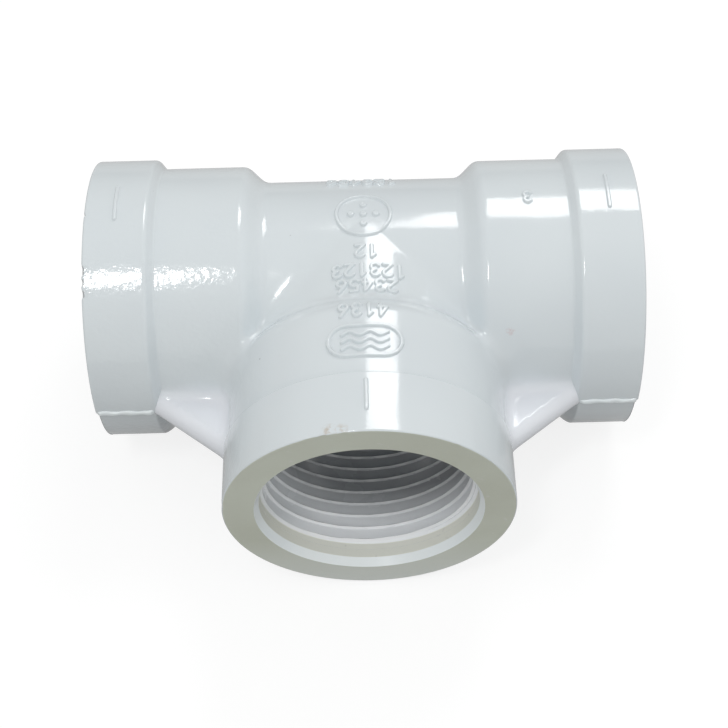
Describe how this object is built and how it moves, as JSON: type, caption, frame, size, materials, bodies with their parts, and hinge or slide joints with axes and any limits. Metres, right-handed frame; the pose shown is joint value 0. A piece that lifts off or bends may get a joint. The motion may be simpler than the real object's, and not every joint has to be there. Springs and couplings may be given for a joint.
{
  "type": "pvc pipe tee",
  "caption": "White PVC pipe tee with slip sockets at both run ends and a female pipe thread in the side branch, for irrigation pipework.",
  "frame": {"origin": "where the run axis and the branch axis cross, at the middle of the waterway", "axes": "+X along the run towards the right socket, -Y out of the branch mouth, +Z towards the side with the raised marks"},
  "size_m": [0.0868, 0.0655, 0.0465],
  "materials": {
    "white_pvc": "glossy injection-moulded white PVC with a cool tint",
    "thread_white_pvc": "satin moulded white PVC thread"
  },
  "bodies": {
    "root": {"run_barrel": "white_pvc", "left_shoulder": "white_pvc", "right_shoulder": "white_pvc", "left_socket_hub": "white_pvc", "right_socket_hub": "white_pvc", "left_end_band": "white_pvc", "right_end_band": "white_pvc", "branch_neck": "white_pvc", "branch_hub": "white_pvc", "branch_end_band": "white_pvc", "branch_thread": "thread_white_pvc", "left_gusset": "white_pvc", "right_gusset": "white_pvc", "left_parting_ridge": "white_pvc", "right_parting_ridge": "white_pvc", "round_badge": "white_pvc", "wave_plate": "white_pvc", "crown_digits": "white_pvc", "digit_row_a": "white_pvc", "digit_row_b": "white_pvc", "digit_row_c": "white_pvc", "digit_row_d": "white_pvc", "hub_digit": "white_pvc", "left_tick": "white_pvc", "right_tick": "white_pvc", "branch_tick": "white_pvc"}
  },
  "joints": []
}
